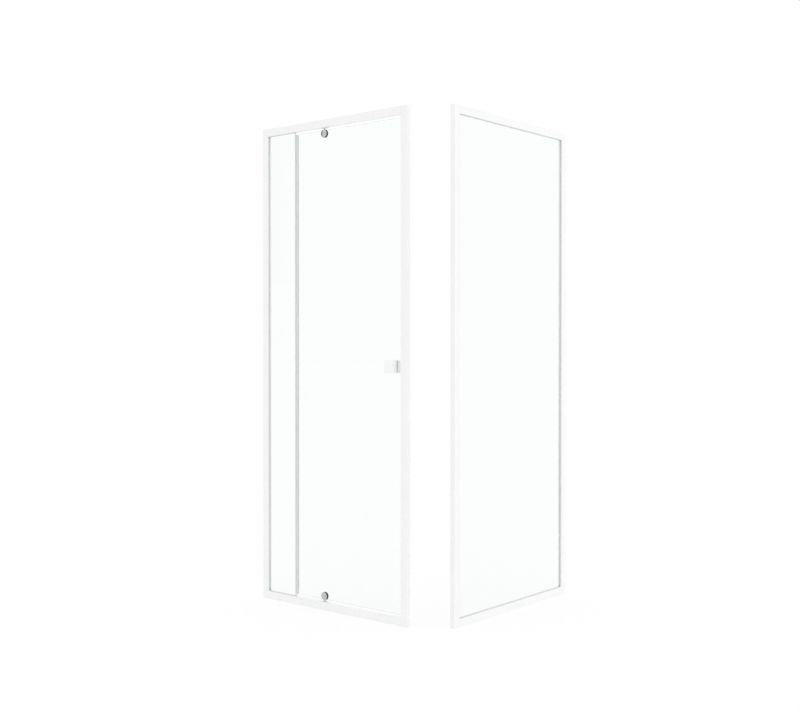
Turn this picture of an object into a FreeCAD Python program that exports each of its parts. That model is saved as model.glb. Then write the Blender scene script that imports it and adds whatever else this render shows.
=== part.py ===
# Pivot shower door with a matching fixed return panel, in white framed glass.
# Millimetres. +X runs along the front panel from the wall to the corner, -Y is the outside and +Z is up.
# The origin is the centre of the front sill's underside.

import FreeCAD
import Part
import Sketcher
import math
import os
import re

# Driving dimensions: name, value and what it measures.
SIZES = [
    ("door_width", 800, "front panel, from the wall to its corner end"),
    ("door_height", 2000, "both panels, floor to top"),
    ("return_width", 800, "return panel, from its corner end to the wall"),
    ("return_side_gap", 131, "front panel's corner end to the return panel's inner face"),
    ("return_back_gap", 82, "front panel's inner face to the return panel's corner end"),
    ("frame_depth", 19, "extrusions, outside face to inside face"),
    ("jamb_face", 33, "jambs, width seen from outside"),
    ("rail_face", 32, "rails, height seen from outside"),
    ("wall", 1.5, "wall of every frame extrusion"),
    ("edge_round", 0.8, "radius of the extrusions' outer long edges"),
    ("glazing_depth", 13.5, "glazing pocket, mouth to floor"),
    ("pocket_mouth", 12, "glazing pocket, width between its lips"),
    ("port_boss", 6.5, "square boss round each screw port in a rail"),
    ("fit_gap", 0.1, "snap-in strips, bushes and soft strips, to what holds them"),
    ("slide_gap", 0.3, "channel inside its jamb"),
    ("channel_wall", 1.5, "wall and corner channels"),
    ("channel_leg", 14, "channel, base to the end of its legs"),
    ("cover_wall", 1.2, "corner cover"),
    ("cover_leg", 6, "corner cover, face to the end of its legs"),
    ("fixing_radius", 2.5, "screw holes through a channel's base"),
    ("pilot_radius", 1.65, "pilot holes in the corner jamb for the return panel"),
    ("fixing_end", 150, "outer fixing holes, from the panel's end"),
    ("fixing_span", 600, "inner pair of fixing holes, apart"),
    ("lock_end", 300, "outer lock screws, from the panel's end"),
    ("lock_reach", 8, "lock screws, from the jamb's outer end"),
    ("screw_radius", 2, "frame and lock screws"),
    ("screw_head_radius", 3.8, "frame and lock screws"),
    ("screw_head_height", 2.6, "frame and lock screws"),
    ("frame_screw_length", 33, "under the head"),
    ("lock_screw_length", 7, "under the head"),
    ("hole_gap", 0.15, "clearance round a screw in its hole"),
    ("thread_gap", 0.05, "clearance round a screw in what it grips"),
    ("glass_thickness", 5, "all three panes"),
    ("glass_bite", 9.5, "how far a fixed pane enters its pocket"),
    ("arris", 0.5, "ground edge of the panes"),
    ("gasket_lip", 1.2, "gasket and bead standing out of their pocket"),
    ("strip_wall", 1.2, "snap-in strips"),
    ("strip_leg", 8, "snap-in strips, face to the end of their legs"),
    ("barb", 0.6, "snap-in strips, how far the barb stands out"),
    ("barb_length", 2, "snap-in strips, length of the barb's slope"),
    ("strip_end_gap", 0.5, "infill strip to the fixed pane's edge"),
    ("bulb_height", 2.8, "closing seal's bulb above the jamb"),
    ("bulb_radius", 1.9, "closing seal's bulb"),
    ("bulb_bore", 1.1, "radius of the hollow in the bulb"),
    ("leaf_width", 570, "door leaf with its edge seal"),
    ("leaf_side_gap", 4, "leaf to the corner jamb"),
    ("leaf_end_gap", 11, "leaf to each rail"),
    ("pane_gap", 4, "fixed pane's free edge to the leaf"),
    ("pivot_inset", 163.5, "leaf's left end to the pivot axis"),
    ("seal_wall", 1.6, "leaf edge seal, over the glass faces"),
    ("seal_web", 2, "leaf edge seal, beyond the glass edge"),
    ("seal_cover", 13, "leaf edge seal, width seen from outside"),
    ("fin_thickness", 1.2, "leaf edge seal's fin"),
    ("fin_reach", 6.5, "leaf edge seal's fin, beyond the leaf's end"),
    ("disc_radius", 16, "pivot clamps and their caps"),
    ("disc_thickness", 3.5, "pivot clamp with its cap"),
    ("disc_inset", 13.5, "clamp's centre from the leaf's edge"),
    ("cap_wall", 0.8, "chrome cap of a pivot clamp"),
    ("cap_depth", 1.8, "chrome cap, face to the end of its skirt"),
    ("cap_chamfer", 0.6, "chrome cap, round its face"),
    ("pivot_gasket", 1, "gasket between a clamp and the glass"),
    ("gasket_inset", 0.6, "pivot gasket, short of the clamp's edge"),
    ("notch_width", 16, "notch in the door glass at each pivot"),
    ("block_gap", 0.2, "pin block to the notch and to the clamps"),
    ("pin_radius", 3, "pivot pins"),
    ("pin_gap", 0.05, "running clearance round a pin"),
    ("pin_end_gap", 0.3, "pin's end to the bush's floor"),
    ("bush_radius", 4.5, "pivot bush"),
    ("bush_floor", 2, "closed end of the pivot bush"),
    ("flange_radius", 6, "pivot bush's flange"),
    ("flange_thickness", 1, "pivot bush's flange"),
    ("plate_length", 30, "pivot plate, along the rail"),
    ("plate_width", 14, "pivot plate, across the rail"),
    ("plate_thickness", 1.5, "pivot plate"),
    ("plate_screw_span", 21, "pivot plate's two screws, apart"),
    ("plate_screw_radius", 1.5, "pivot plate's screws"),
    ("plate_screw_head", 2.7, "head radius"),
    ("plate_screw_cap", 1.2, "head height"),
    ("plate_screw_bite", 2.2, "how far the screws enter the pocket's floor"),
    ("spigot_radius", 3, "outer clamp's spigot, through the pin block"),
    ("bore_floor", 1.2, "outer clamp, over the end of its screw hole"),
    ("clamp_radius", 1.5, "screw that draws two clamps together"),
    ("clamp_head", 3, "head radius"),
    ("clamp_head_height", 1.5, "head height"),
    ("handle_width", 43, "handle blocks"),
    ("handle_height", 50, "handle blocks"),
    ("handle_depth", 26, "handle blocks, out from the glass"),
    ("handle_edge", 2, "radius of the handle's edges"),
    ("handle_inset", 40.5, "handle's centre from the leaf's closing edge"),
    ("handle_level", 1000, "handle's centre above the floor"),
    ("handle_pad", 1, "pad between a handle block and the glass"),
    ("pad_inset", 2, "handle pad, short of the block's edges"),
    ("handle_bore", 6, "radius of the hole in the door glass"),
    ("stud_radius", 3, "handle stud"),
    ("stud_grip", 14, "thread in each handle block"),
    ("grub_radius", 2.5, "grub screw under the inner handle block"),
    ("grub_length", 10, "grub screw"),
]

# Named formulas, worked out from the driving dimensions.
# Along is measured from a panel's left end as seen from outside.
DERIVED = {
    "half_depth": "frame_depth / 2",
    "recess_half": "half_depth - wall",
    "recess_depth": "jamb_face - glazing_depth - wall",
    "pocket_floor": "rail_face - glazing_depth",
    "chamber_top": "pocket_floor - wall",
    "port_low": "wall + port_boss / 2",
    "port_high": "chamber_top - port_boss / 2",
    "mouth_half": "pocket_mouth / 2",
    "strip_half": "mouth_half - fit_gap",
    "lip_half": "half_depth - edge_round",
    "channel_half": "recess_half - slide_gap",
    "cover_half": "recess_half - fit_gap",
    "screw_hole": "screw_radius + hole_gap",
    "return_plane": "door_width / 2 + return_side_gap + half_depth",
    "return_start": "half_depth + return_back_gap",
    "glass_half": "glass_thickness / 2",
    "grip_half": "glass_half + fit_gap",
    "leaf_right": "door_width - jamb_face - leaf_side_gap",
    "leaf_left": "leaf_right - leaf_width",
    "leaf_low": "rail_face + leaf_end_gap",
    "leaf_high": "door_height - leaf_low",
    "pane_right": "leaf_left - pane_gap",
    "infill_start": "pane_right + strip_end_gap",
    "pivot_along": "leaf_left + pivot_inset",
    "pivot_low": "leaf_low + disc_inset",
    "pivot_high": "leaf_high - disc_inset",
    "seal_half": "glass_half + seal_wall",
    "disc_seat": "glass_half + pivot_gasket",
    "disc_face": "disc_seat + disc_thickness",
    "cap_rim": "disc_face - cap_depth",
    "boss_radius": "disc_radius - cap_wall - fit_gap",
    "boss_top": "disc_face - cap_wall - fit_gap",
    "clamp_head_seat": "boss_top - clamp_head_height",
    "spigot_end": "disc_seat - block_gap - pin_end_gap",
    "bore_end": "boss_top - bore_floor",
    "block_half": "notch_width / 2 - block_gap",
    "pin_length": "leaf_end_gap + glazing_depth - fit_gap - bush_floor - pin_end_gap",
    "plate_screw_length": "plate_thickness + glazing_depth + plate_screw_bite",
    "handle_along": "leaf_right - handle_inset",
    "handle_seat": "glass_half + handle_pad",
}

SCREW_LEVELS = ["port_low", "port_high", "door_height - port_high", "door_height - port_low"]
LOCK_LEVELS = ["lock_end", "door_height / 2", "door_height - lock_end"]
FIXING_LEVELS = [
    "fixing_end",
    "door_height / 2 - fixing_span / 2",
    "door_height / 2 + fixing_span / 2",
    "door_height - fixing_end",
]

SAME_SPOT = 1e-4
X_AXIS = FreeCAD.Vector(1, 0, 0)
Y_AXIS = FreeCAD.Vector(0, 1, 0)
Z_AXIS = FreeCAD.Vector(0, 0, 1)
UPRIGHT = FreeCAD.Rotation()
UPSIDE_DOWN = FreeCAD.Rotation(X_AXIS, 180)
ABOUT_FACE = FreeCAD.Rotation(Z_AXIS, 180)
POINTING_RIGHT = FreeCAD.Rotation(Y_AXIS, -90)
POINTING_LEFT = FreeCAD.Rotation(Y_AXIS, 90)
POINTING_OUT = FreeCAD.Rotation(X_AXIS, -90)
POINTING_IN = FreeCAD.Rotation(X_AXIS, 90)
PANEL_TURN = {"front": UPRIGHT, "return": FreeCAD.Rotation(Z_AXIS, 90)}
PANEL_WIDTH = {"front": "door_width", "return": "return_width"}
PANEL_PREFIX = {"front": "", "return": "return_"}

doc = FreeCAD.newDocument("PivotShowerDoor")
sheet = doc.addObject("Spreadsheet::Sheet", "Sizes")
for row, (alias, value, meaning) in enumerate(SIZES, start=1):
    sheet.set(f"A{row}", str(value))
    sheet.setAlias(f"A{row}", alias)
    sheet.set(f"B{row}", meaning)
doc.recompute()

driving = {alias for alias, value, meaning in SIZES}
pieces = {}


# Formulas and placement

def linked(words):
    """The formula with its named parts written out and its sizes read from the sheet."""

    def swap(match):
        word = match.group()
        if word in DERIVED:
            return "(" + linked(DERIVED[word]) + ")"
        if word in driving:
            return "Sizes." + word
        return word

    return re.sub(r"[a-z_]+", swap, words)


def number(words):
    """The formula's present value."""
    return float(sheet.evalExpression(linked(words)))


def place(piece, panel, along, across, up, turn=UPRIGHT):
    """Set a piece in its panel: along it, across it from its middle plane towards the inside, and up."""
    if panel == "front":
        spot = (f"({along}) - door_width / 2", across, up)
    else:
        spot = (f"return_plane - ({across})", f"return_start + ({along})", up)
    piece.Placement = FreeCAD.Placement(FreeCAD.Vector(), PANEL_TURN[panel].multiply(turn))
    for axis, words in zip("xyz", spot):
        piece.setExpression(f"Placement.Base.{axis}", linked(words))


# Sketches and features

def new_body(name, is_piece=True):
    body = doc.addObject("PartDesign::Body", name)
    body.Label = name
    if is_piece:
        pieces[name] = body
    return body


def new_sketch(body, role, level="0"):
    """A sketch on one of the body's own origin planes, moved along that plane's normal by level."""
    plane = next(item for item in body.Origin.OriginFeatures if item.Role == role)
    sketch = body.newObject("Sketcher::SketchObject", body.Name + "_sketch")
    sketch.AttachmentSupport = [(plane, "")]
    sketch.MapMode = "FlatFace"
    sketch.setExpression("AttachmentOffset.Base.z", linked(level))
    return sketch


def tie(sketch, kind, geometry, point, words):
    """Hold one coordinate of a point of the sketch to a formula."""
    index = sketch.addConstraint(Sketcher.Constraint(kind, geometry, point, number(words)))
    sketch.setExpression(f"Constraints[{index}]", linked(words))


def draw_outline(sketch, corners):
    """A closed outline of straight lines through the corners."""
    spots = [FreeCAD.Vector(number(across), number(up), 0) for across, up in corners]
    first = sketch.GeometryCount
    count = len(corners)
    for index in range(count):
        sketch.addGeometry(Part.LineSegment(spots[index], spots[(index + 1) % count]), False)
    for index in range(count):
        follower = first + (index + 1) % count
        sketch.addConstraint(Sketcher.Constraint("Coincident", first + index, 2, follower, 1))
    for index, (across, up) in enumerate(corners):
        tie(sketch, "DistanceX", first + index, 1, across)
        tie(sketch, "DistanceY", first + index, 1, up)


def draw_box(sketch, left, low, right, high):
    draw_outline(sketch, [(left, low), (right, low), (right, high), (left, high)])


def draw_circle(sketch, across, up, radius):
    centre = FreeCAD.Vector(number(across), number(up), 0)
    index = sketch.addGeometry(Part.Circle(centre, FreeCAD.Vector(0, 0, 1), number(radius)), False)
    tie(sketch, "DistanceX", index, 3, across)
    tie(sketch, "DistanceY", index, 3, up)
    ring = sketch.addConstraint(Sketcher.Constraint("Radius", index, number(radius)))
    sketch.setExpression(f"Constraints[{ring}]", linked(radius))


def extrude(body, kind, sketch, length=None, side="One side", reverse=False):
    """A Pad or a Pocket. A Pocket with no length goes through everything."""
    feature = body.newObject("PartDesign::" + kind, f"{body.Name}_{kind.lower()}")
    feature.Profile = sketch
    feature.SideType = side
    feature.Reversed = reverse
    if length is None:
        feature.Type = "ThroughAll"
    else:
        feature.setExpression("Length", linked(length))
    return feature


def turn_profile(body, sketch):
    """A solid of revolution about the sketch's vertical axis."""
    feature = body.newObject("PartDesign::Revolution", body.Name + "_turned")
    feature.Profile = sketch
    feature.ReferenceAxis = (sketch, ["V_Axis"])
    feature.Angle = 360
    return feature


def chamfer_all(body, base, size):
    """Break every edge of the feature."""
    feature = body.newObject("PartDesign::Chamfer", body.Name + "_chamfer")
    feature.Base = (base, [""])
    feature.UseAllEdges = True
    feature.setExpression("Size", linked(size))


def fillet_where(body, base, wanted, radius):
    """Round the feature's edges that the test accepts, which is given each edge's end points."""
    doc.recompute()
    names = []
    for index, edge in enumerate(base.Shape.Edges, start=1):
        if wanted([end.Point for end in edge.Vertexes]):
            names.append(f"Edge{index}")
    feature = body.newObject("PartDesign::Fillet", body.Name + "_fillet")
    feature.Base = (base, names)
    feature.setExpression("Radius", linked(radius))


def round_extrusion(body, base, axes, corners):
    """Round the long edges that stand on the given corners of an extrusion's section."""
    spots = [(number(first), number(second)) for first, second in corners]

    def stands_on_corner(ends):
        return any(
            all(math.dist((end[axes[0]], end[axes[1]]), spot) < SAME_SPOT for end in ends) for spot in spots
        )

    fillet_where(body, base, stands_on_corner, "edge_round")


def group(name, master, panel, spots):
    """One node of several like solids: a copy of the master at each spot."""
    copies = []
    for along, across, up, turn in spots:
        copy = doc.addObject("App::Link", name + "_copy")
        copy.LinkedObject = master
        place(copy, panel, along, across, up, turn)
        copies.append(copy)
    compound = doc.addObject("Part::Compound", name)
    compound.Label = name
    compound.Links = copies
    pieces[name] = compound


def mirrored(half):
    """The half outline followed by its mirror image across the sketch's vertical axis."""
    return half + [(f"-({across})", up) for across, up in reversed(half)]


# Frame extrusions

def jamb(name, panel, at_left, locked):
    """Full-height H section: a recess for its channel, a web, and a lipped glazing pocket."""
    body = new_body(name)
    half = [
        ("half_depth", "0"),
        ("half_depth", "jamb_face"),
        ("mouth_half", "jamb_face"),
        ("mouth_half", "jamb_face - wall"),
        ("recess_half", "jamb_face - wall"),
        ("recess_half", "recess_depth + wall"),
    ]
    recess_left = [("-(recess_half)", "0"), ("-(recess_half)", "recess_depth")]
    section = new_sketch(body, "XY_Plane")
    draw_outline(section, [(up, across) for across, up in mirrored(half) + mirrored(recess_left)])
    bar = extrude(body, "Pad", section, "door_height")
    corners = [(up, f"{side}half_depth") for up in ("0", "jamb_face") for side in ("-", "")]
    round_extrusion(body, bar, (0, 1), corners)
    web_holes = new_sketch(body, "YZ_Plane")
    for level in SCREW_LEVELS:
        draw_circle(web_holes, "0", level, "screw_hole")
    extrude(body, "Pocket", web_holes, reverse=True)
    side_holes = new_sketch(body, "XZ_Plane")
    if locked:
        for level in LOCK_LEVELS:
            draw_circle(side_holes, "lock_reach", level, "screw_hole")
    else:
        for level in FIXING_LEVELS:
            draw_circle(side_holes, "half_depth", level, "pilot_radius")
    extrude(body, "Pocket", side_holes, reverse=not at_left)
    if at_left:
        place(body, panel, "0", "0", "0")
    else:
        place(body, panel, PANEL_WIDTH[panel], "0", "0", ABOUT_FACE)


def rail(name, panel, turn, up, holds_pivot):
    """Rail between the jambs: a lipped glazing pocket over a chamber with two screw ports."""
    body = new_body(name)
    section = new_sketch(body, "YZ_Plane")
    draw_outline(section, mirrored([
        ("half_depth", "0"),
        ("half_depth", "rail_face"),
        ("mouth_half", "rail_face"),
        ("mouth_half", "rail_face - wall"),
        ("recess_half", "rail_face - wall"),
        ("recess_half", "pocket_floor"),
    ]))
    draw_outline(section, mirrored([
        ("port_boss / 2", "wall + port_boss"),
        ("port_boss / 2", "wall"),
        ("recess_half", "wall"),
        ("recess_half", "chamber_top"),
        ("port_boss / 2", "chamber_top"),
        ("port_boss / 2", "chamber_top - port_boss"),
    ]))
    draw_circle(section, "0", "port_low", "screw_radius + thread_gap")
    draw_circle(section, "0", "port_high", "screw_radius + thread_gap")
    bar = extrude(body, "Pad", section, f"{PANEL_WIDTH[panel]} - 2 * jamb_face")
    corners = [(f"{side}half_depth", up) for side in ("-", "") for up in ("0", "rail_face")]
    round_extrusion(body, bar, (1, 2), corners)
    if holds_pivot:
        plate_holes = new_sketch(body, "XY_Plane", "pocket_floor")
        for side in ("-", "+"):
            along = f"pivot_along - jamb_face {side} plate_screw_span / 2"
            draw_circle(plate_holes, along, "0", "plate_screw_radius + thread_gap")
        extrude(body, "Pocket", plate_holes, "plate_screw_bite + pin_end_gap")
    place(body, panel, "jamb_face", "0", up, turn)


def full_height_u(body, half_width, leg, thickness):
    """Full-height U section with its base at the panel's end."""
    section = new_sketch(body, "XY_Plane")
    outline = mirrored([
        (half_width, "0"),
        (half_width, leg),
        (f"{half_width} - {thickness}", leg),
        (f"{half_width} - {thickness}", thickness),
    ])
    draw_outline(section, [(along, across) for across, along in outline])
    extrude(body, "Pad", section, "door_height")


def channel(name, panel, at_left):
    """U section screwed to the wall or to the corner jamb, and hidden in the jamb that slides over it."""
    body = new_body(name)
    full_height_u(body, "channel_half", "channel_leg", "channel_wall")
    base_holes = new_sketch(body, "YZ_Plane")
    for level in FIXING_LEVELS:
        draw_circle(base_holes, "0", level, "fixing_radius")
    extrude(body, "Pocket", base_holes, reverse=True)
    leg_holes = new_sketch(body, "XZ_Plane")
    for level in LOCK_LEVELS:
        draw_circle(leg_holes, "lock_reach", level, "screw_radius + thread_gap")
    extrude(body, "Pocket", leg_holes, reverse=not at_left)
    if at_left:
        place(body, panel, "0", "0", "0")
    else:
        place(body, panel, PANEL_WIDTH[panel], "0", "0", ABOUT_FACE)


def corner_cover():
    """Snap-in strip that closes the corner jamb's empty recess."""
    body = new_body("corner_cover")
    full_height_u(body, "cover_half", "cover_leg", "cover_wall")
    place(body, "front", "door_width", "0", "0", ABOUT_FACE)


def headed_screw(name, radius, length, head_radius, head_height):
    """Screw with a plain round head, which points down from the underside of its head at its origin."""
    body = new_body(name, is_piece=False)
    section = new_sketch(body, "XZ_Plane")
    draw_outline(section, [
        ("0", head_height),
        (head_radius, head_height),
        (head_radius, "0"),
        (radius, "0"),
        (radius, f"-({length})"),
        ("0", f"-({length})"),
    ])
    turn_profile(body, section)
    return body


def frame_of(panel, lock_sides):
    """Rails, jambs and screws of one panel. Lock screws go through the jambs that hold a channel."""
    prefix = PANEL_PREFIX[panel]
    width = PANEL_WIDTH[panel]
    rail(prefix + "sill_rail", panel, UPRIGHT, "0", panel == "front")
    rail(prefix + "head_rail", panel, UPSIDE_DOWN, "door_height", panel == "front")
    spots = []
    for level in SCREW_LEVELS:
        spots.append(("recess_depth", "0", level, POINTING_RIGHT))
        spots.append((f"{width} - (recess_depth)", "0", level, POINTING_LEFT))
    group(prefix + "frame_screws", frame_screw, panel, spots)
    spots = []
    for level in LOCK_LEVELS:
        if "left" in lock_sides:
            spots.append(("lock_reach", "half_depth", level, POINTING_OUT))
        if "right" in lock_sides:
            spots.append((f"{width} - lock_reach", "half_depth", level, POINTING_OUT))
    group(prefix + "lock_screws", lock_screw, panel, spots)


# Glazing

def pane(name, panel, left, low, right, high):
    """Clear pane with ground edges."""
    body = new_body(name)
    outline = new_sketch(body, "XZ_Plane")
    draw_box(outline, left, low, right, high)
    sheet_of_glass = extrude(body, "Pad", outline, "glass_thickness", "Symmetric")
    chamfer_all(body, sheet_of_glass, "arris")
    place(body, panel, "0", "0", "0")


def glazing_strip(name, panel, in_pocket, in_lip):
    """Strip round a pane: part of it fills the glazing pocket, and a lip of it covers the pocket's edge.
    Each part is given as where it starts, outwards of the pane's middle, and its depth from there inwards."""
    body = new_body(name)
    floor_corner = ("jamb_face - glazing_depth + fit_gap", "pocket_floor + fit_gap")
    mouth_corner = ("jamb_face", "rail_face")
    lip_corner = ("jamb_face + gasket_lip", "rail_face + gasket_lip")
    rings = [(floor_corner, mouth_corner, in_pocket), (mouth_corner, lip_corner, in_lip)]
    for (outer_left, outer_low), (inner_left, inner_low), (start, depth) in rings:
        outer_high = f"door_height - ({outer_low})"
        inner_high = f"door_height - ({inner_low})"
        ring = new_sketch(body, "XZ_Plane", start)
        if panel == "front":
            draw_outline(ring, [
                (outer_left, outer_low),
                ("pane_right", outer_low),
                ("pane_right", inner_low),
                (inner_left, inner_low),
                (inner_left, inner_high),
                ("pane_right", inner_high),
                ("pane_right", outer_high),
                (outer_left, outer_high),
            ])
        else:
            draw_box(ring, outer_left, outer_low, f"return_width - ({outer_left})", outer_high)
            draw_box(ring, inner_left, inner_low, f"return_width - ({inner_left})", inner_high)
        extrude(body, "Pad", ring, depth, reverse=True)
    place(body, panel, "0", "0", "0")
    return body


def gasket(name, panel, pane_end):
    """Grey vinyl strip on the outside of a pane and round its edge."""
    body = glazing_strip(
        name, panel, ("strip_half", "strip_half + glass_half"), ("lip_half", "lip_half - (grip_half)")
    )
    slot = new_sketch(body, "XZ_Plane")
    draw_box(slot, "jamb_face - glass_bite", "rail_face - glass_bite", pane_end,
             "door_height - (rail_face - glass_bite)")
    extrude(body, "Pocket", slot, "2 * (grip_half)", "Symmetric")


def bead(name, panel):
    """White strip pressed into the pocket from inside, which holds the pane against its gasket."""
    glazing_strip(
        name, panel, ("-(grip_half)", "strip_half - (grip_half)"), ("-(grip_half)", "lip_half - (grip_half)")
    )


def snap_section(body):
    """Outline of a snap-in strip: a face across the pocket's mouth and two barbed legs behind its lips."""
    section = new_sketch(body, "YZ_Plane")
    draw_outline(section, mirrored([
        ("strip_half", "0"),
        ("strip_half", "-(wall + fit_gap)"),
        ("strip_half + barb", "-(wall + fit_gap)"),
        ("strip_half", "-(wall + fit_gap + barb_length)"),
        ("strip_half", "-strip_leg"),
        ("strip_half - strip_wall", "-strip_leg"),
        ("strip_half - strip_wall", "-strip_wall"),
    ]))
    return section


def infill(name, turn, up):
    """Snap-in strip that closes a rail's pocket under the leaf, with a hole for the pivot's bush."""
    body = new_body(name)
    extrude(body, "Pad", snap_section(body), "door_width - jamb_face - fit_gap - (infill_start)")
    holes = new_sketch(body, "XY_Plane")
    centre = "pivot_along - (infill_start)"
    draw_circle(holes, centre, "0", "bush_radius + fit_gap")
    for side in ("-", "+"):
        along = f"{centre} {side} plate_screw_span / 2"
        draw_circle(holes, along, "0", "plate_screw_radius + hole_gap")
    extrude(body, "Pocket", holes)
    place(body, "front", "infill_start", "0", up, turn)


def closing_seal():
    """Snap-in strip in the corner jamb's mouth, with a hollow bulb towards the leaf's closing edge."""
    body = new_body("closing_seal")
    length = "door_height - 2 * (rail_face + fit_gap)"
    extrude(body, "Pad", snap_section(body), length)
    bulb = new_sketch(body, "YZ_Plane")
    draw_circle(bulb, "0", "bulb_height - bulb_radius", "bulb_radius")
    draw_circle(bulb, "0", "bulb_height - bulb_radius", "bulb_bore")
    extrude(body, "Pad", bulb, length)
    place(body, "front", "door_width - jamb_face", "0", "rail_face + fit_gap", POINTING_RIGHT)


# Pivots

def pivot_plate(name, turn, up):
    """Steel plate on the rail, which carries the bush."""
    body = new_body(name)
    outline = new_sketch(body, "XY_Plane")
    draw_box(outline, "-plate_length / 2", "-plate_width / 2", "plate_length / 2", "plate_width / 2")
    draw_circle(outline, "0", "0", "bush_radius + fit_gap")
    for side in ("-", ""):
        draw_circle(outline, f"{side}plate_screw_span / 2", "0", "plate_screw_radius + hole_gap")
    extrude(body, "Pad", outline, "plate_thickness")
    place(body, "front", "pivot_along", "0", up, turn)


def pivot_bush(name, turn, up):
    """Flanged bush with a closed end, which stands on the floor of the rail's pocket."""
    body = new_body(name)
    foot = "fit_gap - glazing_depth"
    rim = "plate_thickness + flange_thickness"
    section = new_sketch(body, "XZ_Plane")
    draw_outline(section, [
        ("0", foot),
        ("bush_radius", foot),
        ("bush_radius", "plate_thickness"),
        ("flange_radius", "plate_thickness"),
        ("flange_radius", rim),
        ("pin_radius + pin_gap", rim),
        ("pin_radius + pin_gap", f"{foot} + bush_floor"),
        ("0", f"{foot} + bush_floor"),
    ])
    turn_profile(body, section)
    place(body, "front", "pivot_along", "0", up, turn)


def pin_block(name, turn, up):
    """Block that fills the notch in the glass, with the pivot pin standing out of its end."""
    body = new_body(name)
    thickness = "2 * (disc_seat - block_gap)"
    neck = new_sketch(body, "XZ_Plane")
    draw_box(neck, "-(block_half)", "-disc_inset", "block_half", "0")
    extrude(body, "Pad", neck, thickness, "Symmetric")
    crown = new_sketch(body, "XZ_Plane")
    draw_circle(crown, "0", "0", "block_half")
    extrude(body, "Pad", crown, thickness, "Symmetric")
    cross_hole = new_sketch(body, "XZ_Plane")
    draw_circle(cross_hole, "0", "0", "spigot_radius + hole_gap")
    extrude(body, "Pocket", cross_hole, thickness, "Symmetric")
    pin = new_sketch(body, "XY_Plane", "-disc_inset")
    draw_circle(pin, "0", "0", "pin_radius")
    extrude(body, "Pad", pin, "pin_length", reverse=True)
    place(body, "front", "pivot_along", "0", up, turn)


def outer_clamp(name, up):
    """Nylon clamp on the outside of the glass, with a boss for its cap and a spigot through the pin block.
    The screw's blind hole runs up the spigot."""
    body = new_body(name)
    section = new_sketch(body, "XY_Plane")
    grip = "clamp_radius + thread_gap"
    draw_outline(section, [
        (grip, "spigot_end"),
        ("spigot_radius", "spigot_end"),
        ("spigot_radius", "-(disc_seat)"),
        ("disc_radius", "-(disc_seat)"),
        ("disc_radius", "-(cap_rim)"),
        ("boss_radius", "-(cap_rim)"),
        ("boss_radius", "-(boss_top)"),
        ("0", "-(boss_top)"),
        ("0", "-(bore_end)"),
        (grip, "-(bore_end)"),
    ])
    turn_profile(body, section)
    place(body, "front", "pivot_along", "0", up)


def inner_clamp(name, up):
    """Nylon clamp on the inside of the glass, with a boss for its cap and a seat for the screw's head."""
    body = new_body(name)
    section = new_sketch(body, "XY_Plane")
    draw_outline(section, [
        ("clamp_radius + hole_gap", "disc_seat"),
        ("disc_radius", "disc_seat"),
        ("disc_radius", "cap_rim"),
        ("boss_radius", "cap_rim"),
        ("boss_radius", "boss_top"),
        ("clamp_head + hole_gap", "boss_top"),
        ("clamp_head + hole_gap", "clamp_head_seat"),
        ("clamp_radius + hole_gap", "clamp_head_seat"),
    ])
    turn_profile(body, section)
    place(body, "front", "pivot_along", "0", up)


def clamp_cap(name, up, turn):
    """Chrome cap that snaps over a clamp's boss and hides the screw."""
    body = new_body(name)
    section = new_sketch(body, "XY_Plane")
    bore = "boss_radius + fit_gap"
    draw_outline(section, [
        ("0", "disc_face"),
        ("disc_radius - cap_chamfer", "disc_face"),
        ("disc_radius", "disc_face - cap_chamfer"),
        ("disc_radius", "cap_rim"),
        (bore, "cap_rim"),
        (bore, "disc_face - cap_wall"),
        ("0", "disc_face - cap_wall"),
    ])
    turn_profile(body, section)
    place(body, "front", "pivot_along", "0", up, turn)


def clamp_screws():
    """Screws from the inner clamps into the outer clamps' spigots."""
    length = "clamp_head_seat + bore_end - pin_end_gap"
    body = headed_screw("clamp_screw", "clamp_radius", length, "clamp_head", "clamp_head_height")
    spots = [("pivot_along", "clamp_head_seat", up, POINTING_OUT) for up in ("pivot_low", "pivot_high")]
    group("pivot_clamp_screws", body, "front", spots)


def pivot_gaskets():
    """Soft washers under the clamps, open where the pin block passes."""
    body = new_body("pivot_washer", is_piece=False)
    washer = new_sketch(body, "XZ_Plane")
    draw_circle(washer, "0", "0", "disc_radius - gasket_inset")
    extrude(body, "Pad", washer, "pivot_gasket", "Symmetric")
    middle = new_sketch(body, "XZ_Plane")
    draw_circle(middle, "0", "0", "notch_width / 2")
    extrude(body, "Pocket", middle, "pivot_gasket", "Symmetric")
    mouth = new_sketch(body, "XZ_Plane")
    draw_box(mouth, "-notch_width / 2", "-disc_radius", "notch_width / 2", "0")
    extrude(body, "Pocket", mouth, "pivot_gasket", "Symmetric")
    spots = []
    for side in ("-", ""):
        across = f"{side}(glass_half + pivot_gasket / 2)"
        spots.append(("pivot_along", across, "pivot_low", UPRIGHT))
        spots.append(("pivot_along", across, "pivot_high", UPSIDE_DOWN))
    group("pivot_gaskets", body, "front", spots)


# Leaf

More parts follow.
